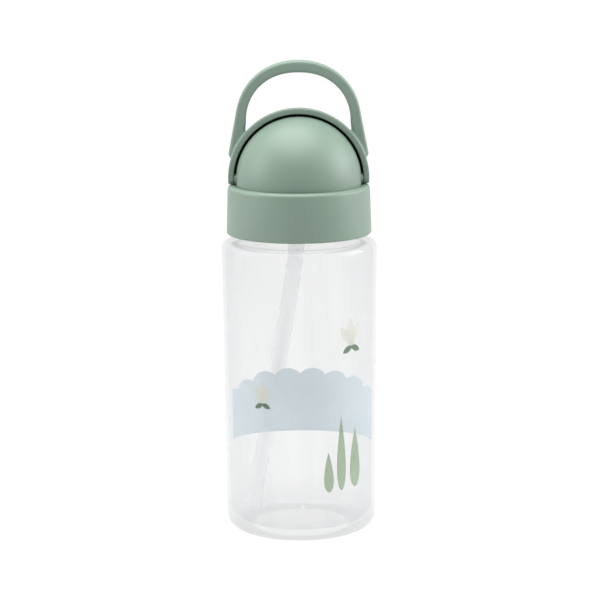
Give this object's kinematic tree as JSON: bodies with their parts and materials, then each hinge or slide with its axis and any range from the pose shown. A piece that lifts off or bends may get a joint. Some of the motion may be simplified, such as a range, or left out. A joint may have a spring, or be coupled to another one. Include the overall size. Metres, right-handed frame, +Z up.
{
  "type": "kids water bottle",
  "caption": "Clear straw bottle for a child: threaded body, screw lid with a fixed half dome, swing-over visor with a carry handle, fold-away soft spout and straw.",
  "frame": {"origin": "centre of the ring that the bottle stands on", "axes": "+Z up along the bottle's axis; +X to the right seen from the front, along the visor's axis; the front, with the fixed dome, faces -Y"},
  "size_m": [0.067, 0.067, 0.2028],
  "materials": {
    "clear_body": "clear glossy copolyester, moulded",
    "lid_plastic": "fine satin moulded polypropylene, sage green",
    "soft_seal": "matt moulded silicone",
    "frosted_straw": "translucent extruded polypropylene"
  },
  "bodies": {
    "bottle": {"bottle_body": "clear_body"},
    "seal": {"neck_seal": "soft_seal"},
    "lid": {"lid_collar": "lid_plastic", "lid_dome": "lid_plastic", "spout_base": "soft_seal", "drinking_straw": "frosted_straw", "vent_valve": "soft_seal"},
    "visor": {"visor_with_handle": "lid_plastic"},
    "spout": {"spout_mouthpiece": "soft_seal"}
  },
  "joints": [
    {"name": "lid_lift", "type": "slide", "parent": "bottle", "child": "seal", "axis": [0, 0, 1], "range_m": [0, 0.005]},
    {"name": "lid_turn", "type": "hinge", "parent": "seal", "child": "lid", "pos_m": [0, 0, 0.1394], "axis": [0, 0, 1], "range_deg": [0, 450]},
    {"name": "visor_turn", "type": "hinge", "parent": "lid", "child": "visor", "pos_m": [0, 0, 0.1526], "axis": [1, 0, 0], "range_deg": [0, 90]},
    {"name": "spout_bend", "type": "hinge", "parent": "lid", "child": "spout", "pos_m": [0, 0.00722, 0.16997], "axis": [1, 0, 0], "range_deg": [0, 133], "deforming": ["spout_mouthpiece"]}
  ],
  "couplings": [
    {"joint": "lid_lift", "follows": "lid_turn", "m_per_rad": 0.0006366},
    {"joint": "spout_bend", "follows": "visor_turn", "ratio": 1.4222}
  ]
}
